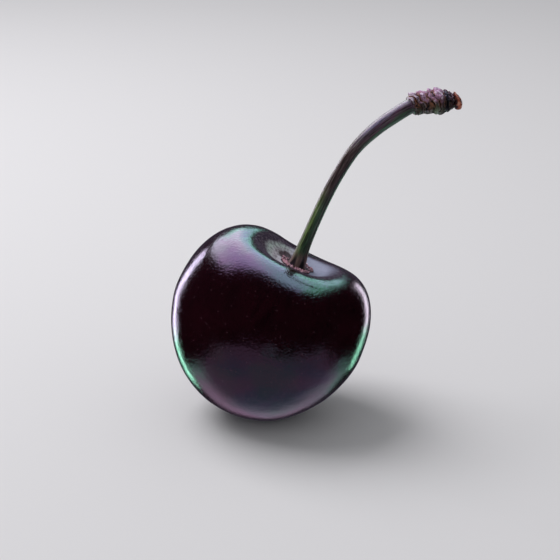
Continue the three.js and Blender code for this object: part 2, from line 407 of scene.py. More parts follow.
def skin_masks(own, radius, azimuth, in_hollow):
    """Where the skin's finishes lie. A painted reflection fills the hollow out to a reach that wavers with
    noise, and fades out more softly on the right. It is mottled and has a painted mint reflection at its
    edge on the left, where the cosine of the azimuth is below 0, and a dark patch lies there by the stem."""
    left = -np.cos(azimuth)
    reach = HOLLOW_REACH + 0.3 * np.cos(azimuth - math.radians(30.0)) + 0.25 * lattice_noise(own, 1.2, 15)
    reach = reach + 0.3 * np.sin(azimuth)
    softness = mixed(0.45, 0.95, eased(-left, 0.0, 0.6))
    hollow = in_hollow * (1.0 - eased((radius - reach) / softness, -1.0, 1.0))
    inside = in_hollow * (1.0 - eased(radius, 5.5, 6.5))
    by_stem = bell(radius, SEAT_RADIUS + 0.3, 0.8)
    return {
        # Where the painted reflection lies on the hollow's wall.
        "hollow": hollow,
        # A painted mint reflection along the edge of that painted reflection, on the left.
        "mint_reflection_edge": in_hollow * bell(radius - reach, -0.3, 0.5) * eased(left, 0.0, 0.5),
        "flanks": eased(np.abs(own[..., 0]), 6.0, 11.0) * (1.0 - hollow),
        "inside": inside,
        # The left part of the painted reflection, which is palest and mottled.
        "mottled": inside * eased(left, -0.3, 0.4),
        "patch": inside * bell(azimuth, PATCH_AZIMUTH, PATCH_HALF_WIDTH) * by_stem,
    }


def build_fruit(sizes, colours):
    """The shaped fruit with its relief along its normals, which fades out at the tip and the seat. It is
    leaned over, and flat where it rests."""
    outline = fruit_outline(sizes)
    radius, height = outline[:, :1], outline[:, 1:]
    azimuth = evenly_round(FRUIT_SIDES)
    own = shaped_fruit(radius, height, azimuth, sizes)
    in_hollow = (height > 0.0) & (radius < sizes.rim_radius / MM)
    fade = eased(radius, SEAT_RADIUS, SEAT_RADIUS + 0.5) + (height < 0.0)
    fade = np.clip(fade, 0.0, 1.0) * eased(radius + (height > 0.0) * 9.0, 0.3, 2.0)
    own = own + grid_normals(own) * (skin_relief(own, radius, azimuth, in_hollow) * fade)[..., None]
    end_heights = np.array([-sizes.tip_depth / MM, SEAT_HEIGHT - POCKET_DEPTH])
    rings = leaned(own, sizes)
    poles = leaned(shaped_fruit(np.zeros(2), end_heights, np.zeros(2), sizes), sizes)
    for points in (rings, poles):
        points[..., 2] = np.maximum(points[..., 2], 0.0)
    run = np.cumsum(np.linalg.norm(np.diff(outline, axis=0, prepend=outline[:1]), axis=1))[:, None]
    attributes = {"skin_run": wrapped(azimuth, 6.0, run), **skin_masks(own, radius, azimuth, in_hollow)}
    mesh = grid_mesh("cherry_fruit", rings, poles, attributes)
    return place_piece(mesh, "fruit", make_skin(colours))


class Route:
    """The stem's centre line: a centripetal Catmull-Rom curve through its points, divided evenly by
    length. Its first side direction faces the front and its second completes the frame."""

    def __init__(self, sizes):
        turn = fruit_turn(sizes)
        foot = np.array([[SEAT_ASIDE, 0.0, height] for height in FOOT_HEIGHTS]) @ turn.T
        knots = np.vstack([foot, np.array(STEM_CURVE)])
        knots = np.vstack([2 * knots[0] - knots[1], knots, 2 * knots[-1] - knots[-2]])
        fine = self.curve(knots) + fruit_middle(sizes)
        steps = np.linalg.norm(np.diff(fine, axis=0), axis=1)
        reached = np.concatenate([[0.0], np.cumsum(steps)])
        self.length = reached[-1]
        self.stations = np.linspace(0.0, self.length, ROUTE_STATIONS)
        self.places = np.stack([np.interp(self.stations, reached, fine[:, k]) for k in range(3)], axis=1)
        tangents = np.gradient(self.places, axis=0)
        self.tangents = tangents / np.linalg.norm(tangents, axis=1, keepdims=True)
        front = np.array([0.0, -1.0, 0.0])
        sides = front - self.tangents * (self.tangents @ front)[:, None]
        self.sides = sides / np.linalg.norm(sides, axis=1, keepdims=True)

    def curve(self, knots):
        """Each span is the cubic whose end slopes come from its neighbours, with spans timed by the square
        root of their length."""
        before, start, end, after = (knots[k : len(knots) - 3 + k] for k in range(4))
        time = np.sqrt(np.linalg.norm(np.diff(knots, axis=0), axis=1))[:, None]
        first, middle, last = time[:-2], time[1:-1], time[2:]
        leave = (start - before) / first - (end - before) / (first + middle) + (end - start) / middle
        arrive = (end - start) / middle - (after - start) / (middle + last) + (after - end) / last
        leave, arrive = leave * middle, arrive * middle
        share = np.linspace(0.0, 1.0, SPAN_STEPS, endpoint=False)[None, :, None]
        start, end, leave, arrive = (part[:, None, :] for part in (start, end, leave, arrive))
        bend = 3 * (end - start) - 2 * leave - arrive
        twist = 2 * (start - end) + leave + arrive
        spans = start + leave * share + bend * share**2 + twist * share**3
        return np.vstack([spans.reshape(-1, 3), knots[-2:-1]])

    def along(self, across, aside, distance):
        """Bends a straight shape along the route: a point stands at its distance, moved by its two offsets
        along the side directions. Past either end it goes on straight."""
        inside = np.clip(distance, 0.0, self.length)

        def taken(table):
            return np.stack([np.interp(inside, self.stations, table[:, k]) for k in range(3)], axis=-1)

        place, tangent, side = taken(self.places), taken(self.tangents), taken(self.sides)
        other = np.cross(tangent, side)
        past = distance - inside
        return place + side * across[..., None] + other * aside[..., None] + tangent * past[..., None]


def knob_radius(along, full):
    """The knob's plain radius: an eased rise to its fullest, then a fall with the square of the way on."""
    rise = mixed(full * KNOB_START_SHARE, full, eased(along, 0.0, KNOB_FULL_AT))
    past = np.clip((along - KNOB_FULL_AT) / (KNOB_LENGTH - KNOB_FULL_AT), 0.0, 1.0) ** 2
    return np.where(along < KNOB_FULL_AT, rise, mixed(full, full * KNOB_END_SHARE, past))


def stem_radius(along, length, sizes):
    """The stem's plain radius: a foot that dies away as an exponential, a shaft that widens slowly, and the
    knob, which swells out of the shaft over its collar."""
    thin = sizes.stem_radius / MM
    foot = (FOOT_RADIUS - thin) * np.exp(-np.maximum(along - POCKET_DEPTH, 0.0) / FOOT_TAPER)
    widening = STEM_WIDENING * eased(along, WIDENING_START, length - KNOB_LENGTH)
    plain = thin + foot + widening
    on_knob = along - (length - KNOB_LENGTH)
    collar = np.sqrt(np.clip(on_knob / COLLAR_LENGTH, 0.0, 1.0))
    return mixed(plain, knob_radius(on_knob, sizes.knob_radius / MM), collar)


def knob_folds(on_knob, azimuth):
    """The knob's folds: between two grooves the surface rises slowly and drops off fast, like an overlapping
    flap. The grooves run slanting round the knob and wander with slow waves and noise. Each fold has its own
    strength, which noise lets die away and come back round the knob."""
    circle = wrapped(azimuth, 1.5, on_knob * 0.8)
    slant = -0.30 * np.sin(azimuth) * (1.0 - 0.6 * on_knob / KNOB_LENGTH)
    wander = slant + 0.10 * np.sin(2 * azimuth + 2.1)
    wander = wander + noise_sum(circle, ((0.42, 1.3, 47), (0.24, 0.6, 48), (0.09, 0.28, 50)))
    phase = np.interp(on_knob + wander, FOLD_GROOVES, np.arange(len(FOLD_GROOVES)))
    number = np.clip(np.floor(phase).astype(int), 0, len(FOLD_STRENGTHS) - 1)
    share = phase - np.floor(phase)
    fold = np.sin(math.pi * (1.0 - share) ** 1.35)
    uneven = np.clip(1.0 + lattice_noise(circle * np.array([1.0, 1.0, 1.6]), 0.9, 49), 0.15, 1.7)
    return fold, np.array(FOLD_STRENGTHS)[number] * uneven


def shaft_relief(along, azimuth):
    """How far the shaft's surface stands out: flutes that die away from the foot, fine lengthwise ribs and
    slow bumps. Also gives the share of each gap between the flutes, for the painted shade there."""
    ribs = 0.018 * layered_noise(wrapped(azimuth, 0.9, along * 0.07), 0.34, 31)
    bumps = 0.03 * lattice_noise(wrapped(azimuth, 1.2, along), 2.4, 33)
    above = np.maximum(along - POCKET_DEPTH - 0.1, 0.0)
    start = np.minimum(above, 1.0)
    flute = np.cos(FLUTE_COUNT * azimuth + 0.5) - 1.0
    relief = start * (FLUTE_DEPTH * np.exp(-above / FOOT_TAPER) * flute + ribs + bumps)
    return relief, np.clip(-0.5 * flute, 0.0, 1.0) * np.exp(-above / 1.6)


def knob_relief(on_knob, azimuth):
    """How far the knob's surface stands out: its folds, with thin wrinkles and pits on them. Also gives the
    share of each groove, for the colours: the rust lines along it and the painted shade in it; and how far
    each crest leans back over the groove before it."""
    fold, height = knob_folds(on_knob, azimuth)
    fade = eased(on_knob, 0.1, 0.1 + COLLAR_LENGTH)
    wrinkled = wrapped(azimuth, 1.6, on_knob)
    creases = (1.0 - np.abs(lattice_noise(wrinkled, 0.45, 44))) ** 4
    fine = 0.15 * layered_noise(wrinkled, 0.5, 41) - 0.13 * creases
    pits = eased(on_knob, 4.7, 5.2) * eased(lattice_noise(wrinkled, 0.4, 46), 0.25, 0.6)
    # The folds flatten on the knob's underside, where the sine of the azimuth is 1.
    flatter = mixed(1.0, UNDERSIDE_RELIEF, eased(np.sin(azimuth), 0.1, 0.85))
    relief = fade * flatter * (FOLD_DEPTH * (height * fold - FOLD_MEAN) + fine - 0.22 * pits)
    groove = fade * np.clip(np.clip(1.0 - height * fold / 0.6, 0.0, 1.0) + pits, 0.0, 1.0)
    return relief, groove, 0.20 * flatter * np.minimum(height, 1.3) * fold**2


def stem_rows(length):
    """Distances along the stem of its rings: wider apart on the shaft and close together on the knob."""
    knob_start = length - KNOB_LENGTH
    parts = [
        np.linspace(0.0, POCKET_DEPTH, FOOT_ROWS),
        np.linspace(POCKET_DEPTH, knob_start, SHAFT_ROWS)[1:],
        np.linspace(knob_start, length, KNOB_ROWS)[1:],
    ]
    return np.concatenate(parts)[:, None]


def build_stem(sizes, colours):
    """The stem's plain radius and relief, carried along its route. Past the knob's end, rings of the cup
    close it with a lip that noise makes ragged."""
    route = Route(sizes)
    length = route.length
    azimuth = evenly_round(STEM_SIDES)
    along = stem_rows(length) * np.ones_like(azimuth)
    on_knob = along - (length - KNOB_LENGTH)
    shaft, foot_gap_shade = shaft_relief(along, azimuth)
    knob, groove, leaning = knob_relief(on_knob, azimuth)
    radius = stem_radius(along, length, sizes) + np.where(on_knob > 0.0, knob, shaft)
    distance = along - leaning * eased(length - along, 0.2, 0.9) * eased(on_knob, 0.0, 0.3)
    cup_share, cup_drop = np.array(CUP_RINGS).T[..., None]
    cup_radius = cup_share * radius[-1:] * np.where(cup_share > 1.0, 0.93, 1.0)
    ragged = 0.10 * layered_noise(wrapped(azimuth, 2.0, 0.0), 0.7, 51)
    radius = np.vstack([radius, cup_radius])
    distance = np.vstack([distance, length + cup_drop + ragged * (cup_drop > -0.2)])
    rings = route.along(radius * np.cos(azimuth), radius * np.sin(azimuth), distance)
    ends = route.along(np.zeros(2), np.zeros(2), np.array([0.0, length - CUP_DEPTH]))
    green = bell(on_knob, GREEN_AT, GREEN_HALF_LENGTH)
    # Each mask, and what it is in the cup.
    masks = {
        "groove": (groove, 1.0),
        "foot_gap_shade": (foot_gap_shade, 0.0),
        "on_knob": (eased(on_knob, 0.05, 0.45), 1.0),
        "dusk": (bell(on_knob, DUSK_AT, DUSK_HALF_WIDTH), 0.0),
        "tip": (eased(on_knob, 5.0, 5.4), 1.0),
        "green": (green * bell(azimuth, GREEN_AZIMUTH, GREEN_HALF_WIDTH), 0.0),
    }
    cup = np.ones_like(cup_radius)
    attributes = {label: np.vstack([values, cup * in_cup]) for label, (values, in_cup) in masks.items()}
    attributes.update({"along": distance / length, "straight": wrapped(azimuth, 1.0, distance)})
    mesh = grid_mesh("cherry_stem", rings, ends, attributes)
    return place_piece(mesh, "stem", make_bark(colours))


def build_ring(sizes, colours):
    """The torn ring round the stem's foot: a closed loop of (share across, share of height) carried round,
    whose outer edge and top are made ragged by noise."""
    azimuth = evenly_round(RING_SIDES)
    loop = np.linspace(0.0, 2.0 * math.pi, RING_ROWS, endpoint=False)[:, None]
    across = 0.5 - 0.5 * np.cos(loop)
    raised = np.where(np.sin(loop) > 0.0, np.abs(np.sin(loop)) ** 0.45 * mixed(0.4, 1.0, across), 0.0)
    outer = sizes.ring_outer / MM
    lumps = 0.5 * np.sin(5 * azimuth + 0.6) + 0.3 * np.sin(9 * azimuth + 2) - 0.35 * np.cos(azimuth)
    lumps = lumps - 2.2 * bell(azimuth, math.radians(128.0), math.radians(50.0))
    torn = layered_noise(wrapped(azimuth, outer, 0.0), 0.5, 61)
    radius = mixed(RING_INNER, outer, across) * (1.0 + (0.06 * lumps + 0.15 * torn - 0.02) * across)
    crumbs = layered_noise(wrapped(azimuth, radius, raised), 0.24, 64)
    fuller = 0.62 - 0.20 * np.cos(azimuth)
    raised = raised * np.maximum(fuller + 0.25 * lumps + 1.2 * crumbs, 0.1)
    own = wrapped(azimuth, radius, raised * sizes.ring_height / MM)
    rings = leaned(own + np.array([SEAT_ASIDE, 0.0, SEAT_HEIGHT + FIT]), sizes)
    masks = {"raised": raised[::-1], "outer": across[::-1]}
    mesh = grid_mesh("cherry_receptacle_ring", rings[::-1], attributes=masks)
    return place_piece(mesh, "receptacle_ring", make_tissue(colours))


def build_scale(sizes, colours):
    """The dry scale: a sphere flattened along the stem, tilted and curled back over the knob's end, with a
    root that stands in the cup, its rim torn and its faces dented by noise."""
    route = Route(sizes)
    rise, half_height = sizes.scale_rise / MM, sizes.scale_half_height / MM

    def laid(sphere):
        x, y, z = np.moveaxis(sphere, -1, 0)
        across = x * x + y * y
        # The lower end, where x is 1, reaches furthest past the knob.
        behind = rise + SCALE_TILT * x - SCALE_CURL * across
        # Above, the scale is thin and arched. Below, a cushion of tissue fills the space down to the knob.
        thin, thick = SCALE_THICKNESS * np.abs(z) ** 0.7, -CUSHION_SHARE * behind * np.abs(z) ** 0.8
        root_length = (1.0 - CUSHION_SHARE) * rise + CUP_DEPTH - FIT
        root = root_length * np.maximum(-z, 0.0) * np.exp(-across / 0.09)
        flat = sphere * np.array([2.0, 2.0, 0.5])
        torn = 1.0 + 0.16 * layered_noise(flat, 0.55, 71) * eased(across, 0.3, 1.0)
        dents = 0.16 * layered_noise(flat + 9.0, 0.5, 74) * eased(across, 0.1, 0.6)
        distance = route.length + behind + np.where(z > 0.0, thin, thick) + dents - root
        return route.along(y * SCALE_HALF_DEPTH * torn, x * half_height * torn, distance)

    sphere = sphere_rings(SCALE_ROWS, SCALE_SIDES)
    ends = laid(np.array([[0.0, 0.0, -1.0], [0.0, 0.0, 1.0]]))
    rim = eased(np.sum(sphere[..., :2] ** 2, axis=-1), 0.55, 1.0)
    masks = {"rim": rim, "cushion": eased(-sphere[..., 2], 0.12, 0.45)}
    mesh = grid_mesh("cherry_end_scale", laid(sphere), ends, masks)
    return place_piece(mesh, "end_scale", make_scale_finish(colours))


def add_object(data):
    """Adds an object of the data's own name to the scene."""
    made = bpy.data.objects.new(data.name, data)
    bpy.context.scene.collection.objects.link(made)
    return made


def place_piece(mesh, node, material):
    """Adds the piece, which rides on the one body and stands for its CAD node."""
    piece = add_object(mesh)
    mesh.materials.append(material)
    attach(piece, "root")
    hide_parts(node)
    return piece


class Wire:
    """One output socket, so that shader maths reads as Python. Each expression adds its Math nodes."""

    def __init__(self, finish, socket):
        self.finish = finish
        self.socket = socket

    def math(self, operation, first, second=None):
        values = {0: first} if second is None else {0: first, 1: second}
        return self.finish.node("ShaderNodeMath", {"operation": operation}, values)

    def __add__(self, other):
        return self.math("ADD", self, other)

    __radd__ = __add__

    def __mul__(self, other):
        return self.math("MULTIPLY", self, other)

    __rmul__ = __mul__

    def __sub__(self, other):
        return self.math("SUBTRACT", self, other)

    def __rsub__(self, other):
        return self.math("SUBTRACT", other, self)

    def eased(self, low, high):
        """0 below low and 1 above high, eased between. With low above high it falls instead."""
        if low > high:
            return 1.0 - self.eased(high, low)
        values = {"Value": self, "From Min": low, "From Max": high}
        return self.finish.node("ShaderNodeMapRange", {"interpolation_type": "SMOOTHSTEP"}, values)

    def between(self, low, high):
        """The share from 0 to 1 taken to a number from low to high."""
        return self * (high - low) + low


class Finish:
    """A material as it is made, with the settings' colours. node() takes a node's type, its settings, and its
    sockets' values."""

    def __init__(self, name, colours=None):
        self.colours = colours
        self.material = bpy.data.materials.new(name)
        self.material.use_nodes = True
        self.nodes = self.material.node_tree.nodes
        self.links = self.material.node_tree.links
        self.nodes.clear()

    def node(self, kind, settings=None, values=None, output=0):
        made = self.nodes.new(kind)
        for name, value in (settings or {}).items():
            setattr(made, name, value)
        for name, value in (values or {}).items():
            if isinstance(value, Wire):
                self.links.new(value.socket, made.inputs[name])
            else:
                made.inputs[name].default_value = value
        return Wire(self, made.outputs[output])

    def place_mm(self):
        """The point's place on the object, in millimetres."""
        place = self.node("ShaderNodeTexCoord", output="Object")
        return self.node("ShaderNodeVectorMath", {"operation": "SCALE"}, {0: place, "Scale": 1.0 / MM})

    def mask(self, name):
        return self.node("ShaderNodeAttribute", {"attribute_name": name}, output="Fac")

    def vector(self, name):
        return self.node("ShaderNodeAttribute", {"attribute_name": name}, output="Vector")

    def noise(self, vector, scale, detail=3.0, roughness=0.5):
        """Noise at one scale, or at three, one along each axis."""
        if isinstance(scale, tuple):
            stretch = {"operation": "MULTIPLY"}
            vector, scale = self.node("ShaderNodeVectorMath", stretch, {0: vector, 1: scale}), 1.0
        values = {"Vector": vector, "Scale": scale, "Detail": detail, "Roughness": roughness}
        return self.node("ShaderNodeTexNoise", None, values)

    def cells(self, vector, scale, output="Distance"):
        return self.node("ShaderNodeTexVoronoi", None, {"Vector": vector, "Scale": scale}, output)

    def blend(self, first, second, share):
        """The first colour mixed towards the second by a share. A name stands for one of the colours."""
        first, second = (
            colour if isinstance(colour, Wire) else (*getattr(self.colours, colour), 1.0)
            for colour in (first, second)
        )
        return self.node("ShaderNodeMix", {"data_type": "RGBA"}, {0: share, 6: first, 7: second}, output=2)

    def layered(self, colour, *layers):
        """The colour with each layer's colour blended over it by its share, in order."""
        for over, share in layers:
            colour = self.blend(colour, over, share)
        return colour

    def bump(self, height, distance=1.0):
        """A normal bent by a height in millimetres, times the distance."""
        values = {"Height": height, "Distance": distance * MM, "Strength": 1.0}
        return self.node("ShaderNodeBump", None, values)

    def surface(self, values):
        return self.node("ShaderNodeBsdfPrincipled", None, values)

    def either(self, first, second, share):
        """The first shader where the share is 0, and the second where it is 1."""
        return self.node("ShaderNodeMixShader", None, {0: share, 1: first, 2: second})

    def done(self, shader):
        output = self.nodes.new("ShaderNodeOutputMaterial")
        self.links.new(shader.socket, output.inputs["Surface"])
        return self.material


def make_skin(colours):
    """Glossy near-black burgundy skin: redder clouds, dark streaks, pale pinprick pores, a fine stipple, and
    a lilac and a mint sheen that take turns in patches. In the hollow it is matt, with reflections painted
    into its
    colour: a pale painted reflection near the stem, palest and flecked dark on the left with a painted mint
    reflection at its edge, a dark red patch by the stem, and a dark band below the rim."""
    finish = Finish("cherry_skin", colours)
    place = finish.place_mm()
    run = finish.vector("skin_run")
    mottled = finish.mask("mottled")
    clouds = finish.noise(place, 0.22, 4.0, 0.55)
    streaks = finish.noise(run, (2.6, 2.6, 0.22), 3.0, 0.6)
    pore_seeds = finish.cells(place, 1.9, "Color")
    chosen = finish.node("ShaderNodeSeparateColor", None, {0: pore_seeds}).eased(0.5, 0.54)
    pores = finish.cells(place, 1.9).eased(0.16, 0.09) * chosen
    colour = finish.layered(
        "skin_deep",
        ("skin_red", clouds.eased(0.42, 0.68)),
        ("skin_dark", streaks.eased(0.5, 0.75) * 0.6),
        ("pore", pores * 0.6),
    )
    mottle = finish.noise(place, 1.5, 4.0, 0.7)
    wisps = finish.noise(run, (1.6, 1.6, 0.8), 3.0, 0.6)
    grain = finish.noise(place, 3.2, 2.0, 0.6)
    flecks = (mottle * 0.3 + wisps * 0.3 + grain * 0.4).eased(0.55, 0.43)
    # Painted reflection on the hollow's wall: bluish, palest on the left, with a painted mint reflection at
    # its edge and dark flecks through it.
    pale = finish.layered(
        "hollow",
        ("hollow_painted_reflection", mottled),
        ("hollow_painted_mint_reflection", finish.mask("mint_reflection_edge") * 0.6),
        ("hollow_dark", flecks * mottled.between(0.1, 0.65)),
    )
    # The hollow's matt colour: dark skin below the rim, the painted reflection nearer the stem, and a dark
    # red patch by the stem.
    wall = finish.layered(
        "hollow_band",
        ("hollow_dark", grain.eased(0.5, 0.66)),
        (pale, finish.mask("hollow")),
        ("hollow_red", (finish.mask("patch") * mottle).eased(0.07, 0.26) * 0.9),
    )
    stipple = finish.noise(place, 3.2, 1.0, 0.6).eased(0.40, 0.62)
    relief = stipple * finish.mask("flanks").between(0.0088, 0.0075) + pores * 0.004 + streaks * 0.003
    roughness, normal = grain.between(0.09, 0.17), finish.bump(relief)
    shared = {"Base Color": colour, "Roughness": roughness, "Normal": normal, "IOR": SKIN_IOR}
    sheens = (colours.lilac_sheen, colours.mint_sheen)
    lilac, mint = (finish.surface({**shared, "Specular Tint": (*sheen, 1.0)}) for sheen in sheens)
    glossy = finish.either(lilac, mint, finish.noise(place, 0.16, 2.0, 0.5).eased(0.45, 0.6))
    values = {"Base Color": wall, "Roughness": 0.6, "Normal": finish.bump(mottle, 0.06)}
    matt = finish.surface({**values, "IOR": 1.25, "Specular IOR Level": 0.15})
    return finish.done(finish.either(glossy, matt, finish.mask("inside")))


def make_bark(colours):
    """Smooth stalk with fine lengthwise fibres. Its colour differs by side, and light and shade are painted
    into that: the top side is painted lit, yellow-green low down and lilac near the knob, with brighter pale
    fibres. The underside is darker, painted shade, and green near the knob. The middle is browner, both edges
    carry a painted pale rim highlight and the foot is pinkish. The knob is pink and purple on its painted lit
    top, with pale dry flakes that are brighter there as painted highlights, brown in the middle and olive
    below. It has a green patch, orange-brown lines along its grooves, painted shade in its deepest grooves
    and between the foot's flutes, a blue-black band and a dark red-brown end."""
    finish = Finish("cherry_stem_bark", colours)
    straight = finish.vector("straight")
    side = finish.node("ShaderNodeSeparateXYZ", None, {0: straight}, output=1)
    along, on_knob, groove = (finish.mask(name) for name in ("along", "on_knob", "groove"))
    fibres = finish.noise(straight, (6.0, 6.0, 0.16), 3.0, 0.65)
    threads = finish.noise(straight, (6.0, 6.0, 0.35), 2.0, 0.7)
    patches = finish.noise(straight, (0.9, 0.9, 0.22), 3.0, 0.55)
    frayed = side + patches.between(-0.5, 0.5) + fibres.between(-0.7, 0.7)
    # Painted light and shade by side: sunny is the top side, painted lit, and shaded is the underside,
    # painted in shade.
    sunny, shaded = frayed.eased(-0.15, -0.75), frayed.eased(0.1, 0.7)
    low = finish.layered("stem_green", ("stem_painted_lit_side", sunny), ("stem_dark_fibres_and_shade", shaded))
    middle = finish.layered("stem_brown", ("stem_dark_fibres_and_shade", shaded))
    high = finish.layered("stem_purple", ("stem_lilac_painted_lit_side", sunny), ("stem_under", frayed.eased(-0.15, 0.35)))
    wavy = along + patches.between(-0.05, 0.05)
    # A painted rim highlight: pale lines along the stem's top and bottom edges, where side is near 1 or -1.
    edge = (side * side).eased(0.58, 0.84)
    pink = (along + fibres.between(-0.05, 0.05)).eased(0.10, 0.06)
    shaft = finish.layered(
        low,
        (middle, wavy.eased(0.27, 0.40)),
        (high, wavy.eased(0.52, 0.66)),
        ("stem_dark_fibres_and_shade", threads.eased(0.5, 0.40) * 0.85),
        # Pale fibres, brighter on the painted lit top.
        ("stem_pale", threads.eased(0.53, 0.65) * sunny.between(0.2, 0.7)),
        ("stem_painted_rim_highlight", edge * threads.eased(0.3, 0.5) * 0.8),
        ("foot_pink", pink * threads.between(0.2, 1.2)),
        # Painted shade in the gaps between the foot's flutes.
        ("gap", finish.mask("foot_gap_shade").eased(0.12, 0.6)),
    )
    mottle = finish.noise(straight, 0.9, 4.0, 0.7)
    flakes = finish.noise(straight, 1.8, 3.0, 0.7)
    olive = finish.noise(straight, (0.8, 0.8, 0.4), 2.0, 0.5)
    lifted = side + mottle.between(-2.0, 2.0)
    knob = finish.layered(
        "knob_brown",
        # Purple, then pink, towards the knob's top: its own colour, painted lighter there as lit from above.
        ("knob_purple", lifted.eased(-0.1, -0.35)),
        ("knob_pink_painted_lit_top", lifted.eased(-0.35, -0.85)),
        ("knob_olive", (side + olive.between(-2.0, 2.0)).eased(0.3, 0.7) * 0.8),
        ("knob_green", finish.mask("green") * flakes.between(1.5, 0.3)),
        # Pale dry flakes, brighter on the painted lit top as painted highlights.
        ("knob_flakes_and_highlights", flakes.eased(0.53, 0.63) * sunny.between(0.2, 0.8)),
        ("knob_brown", flakes.eased(0.44, 0.34) * 0.8),
        ("knob_rust", groove.eased(0.08, 0.3) * mottle.eased(0.36, 0.52) * side.eased(0.6, -0.1) * 0.9),
        # Painted shade in the knob's deepest grooves.
        ("gap", groove.eased(0.5, 0.95) * flakes.eased(0.35, 0.5)),
        ("knob_end", finish.mask("tip") * flakes.between(1.3, 0.5)),
        ("knob_dusk", finish.mask("dusk") * mottle.between(1.7, 0.7)),
    )
    wrinkles = finish.noise(straight, (3.0, 3.0, 5.0), 4.0, 0.7)
    values = {
        "Base Color": finish.blend(shaft, knob, on_knob),
        "Roughness": fibres.between(0.38, 0.55) + on_knob * 0.1,
        "Normal": finish.bump(fibres * 0.03 + on_knob * wrinkles * 0.10),
        "IOR": 1.45,
        "Coat Weight": on_knob.between(0.35, 0.0),
        "Coat Roughness": 0.2,
        "Coat IOR": 1.5,
    }
    return finish.done(finish.surface(values))


def make_tissue(colours):
    """Dusty pink torn tissue in crumbly patches, with pale crumbs, on its raised outer parts, which are
    painted lit. Its low and inner places and the gaps between the patches are dark red, partly painted shade.
    """
    finish = Finish("cherry_receptacle_tissue", colours)
    place = finish.place_mm()
    raised, outer = finish.mask("raised"), finish.mask("outer")
    crumbs = finish.noise(place, 2.6, 4.0, 0.65)
    patches = finish.noise(place, 1.5, 2.0, 0.6)
    # Painted light and shade: lit is the raised outer part, pink with pale crumbs; elsewhere the dark red is
    # partly painted shade.
    lit = raised.eased(0.12, 0.45) * outer.eased(0.15, 0.4) * patches.eased(0.38, 0.5)
    colour = finish.layered("tissue_dark_and_shade", ("tissue", lit), ("tissue_pale", crumbs.eased(0.46, 0.66) * lit))
    normal = finish.bump(crumbs * 0.14 + patches * 0.1)
    return finish.done(finish.surface({"Base Color": colour, "Roughness": 0.7, "Normal": normal}))


def make_scale_finish(colours):
    """Dry rust-coloured scale, darker red in its hollows and on its cushion, and paler at its torn rim."""
    finish = Finish("cherry_dry_scale", colours)
    rim = finish.mask("rim")
    mottle = finish.noise(finish.place_mm(), 1.7, 4.0, 0.6)
    colour = finish.layered(
        "scale_dark",
        ("scale_rust", (mottle + rim.between(-0.08, 0.12)).eased(0.42, 0.56)),
        ("scale_pale", rim * mottle.eased(0.4, 0.62) * 0.8),
        ("scale_dark", finish.mask("cushion") * mottle.eased(0.66, 0.5)),
    )
    normal = finish.bump(mottle * 0.15)
    return finish.done(finish.surface({"Base Color": colour, "Roughness": 0.55, "Normal": normal}))


def softbox(azimuth, elevation, middle, half, softness):
    """A soft rectangle of directions: its eased share across both angles."""
    across = np.abs((azimuth - middle[0] + 180.0) % 360.0 - 180.0)
    up = np.abs(elevation - middle[1])
    return math.prod(
        1.0 - eased(off, size - softness, size + softness) for off, size in zip((across, up), half)
    )


def tinted(colour, *layers):
    """A colour for each direction: each layer's colour is mixed in by its share, in order."""
    for over, share in layers:
        colour = mixed(np.array(colour), np.array(over), share[..., None])
    return colour


def studio_glow(direction):
    """What the studio shows in each direction, as light. Azimuth 0 is towards the camera and grows to its
    right. A large panel hangs over and behind the fruit, two strips stand behind it at the sides, and the
    table below gives a dim glow."""
    azimuth = np.degrees(np.arctan2(direction[..., 0], -direction[..., 1]))
    elevation = np.degrees(np.arcsin(np.clip(direction[..., 2], -1.0, 1.0)))
    return panel_glow(direction) + strip_glow(azimuth, elevation) + table_glow(direction)


def panel_glow(direction):
    """The panel overhead: side and behind are where the direction meets a level plane one unit up. It is
    purple at its near edge, pinker on the left, nearly white in the middle, blue and dimmer on the right,
    mint at its right and back edges, and brightest towards the back."""
    upward = np.maximum(direction[..., 2], 1e-3)
    side = direction[..., 0] / upward
    behind = direction[..., 1] / upward
    right_part = eased(side, 0.05, 0.45)
    near_edge = mixed(0.06, -0.14, right_part)
    back_edge = mixed(2.25, 2.7, eased(side, -0.5, 0.1))
    left_edge = mixed(-0.92, -1.15, eased(behind, 0.3, 1.2))
    off_side = np.maximum((side - PANEL_RIGHT_EDGE) * 1.6, left_edge - side)
    off_length = np.maximum(behind - back_edge, (near_edge - behind) * 0.9)
    # The corners are rounded: past both edges at once, the distance is that to the corner of a smaller panel.
    past_side, past_length = (np.maximum(off + PANEL_ROUNDING, 0.0) for off in (off_side, off_length))
    at_corner = np.minimum(off_side, off_length) > -PANEL_ROUNDING
    off_corner = np.hypot(past_side, past_length) - PANEL_ROUNDING
    off_panel = np.where(at_corner, off_corner, np.maximum(off_side, off_length))
    panel = (1.0 - eased(off_panel, -PANEL_SOFTNESS, PANEL_SOFTNESS)) * (direction[..., 2] > 0.0)
    level = PANEL_LEVEL * mixed(mixed(0.84, 1.0, eased(behind, 0.1, 1.5)), 0.76, right_part)
    mint_back = eased(behind - back_edge, -0.9, -0.3)
    mint_back = mint_back * mixed(0.25, 0.85, eased(side, -0.8, -0.3))
    colour = tinted(
        PANEL_WHITE,
        (PANEL_PURPLE, eased(-behind, -1.1, -0.3)),
        (PANEL_PINK, 0.6 * eased(-side, 0.2, 0.8)),
        (PANEL_BLUE, right_part),
        (PANEL_MINT, np.maximum(eased(side, 0.70, 0.88), mint_back)),
    )
    return (panel * level)[..., None] * colour


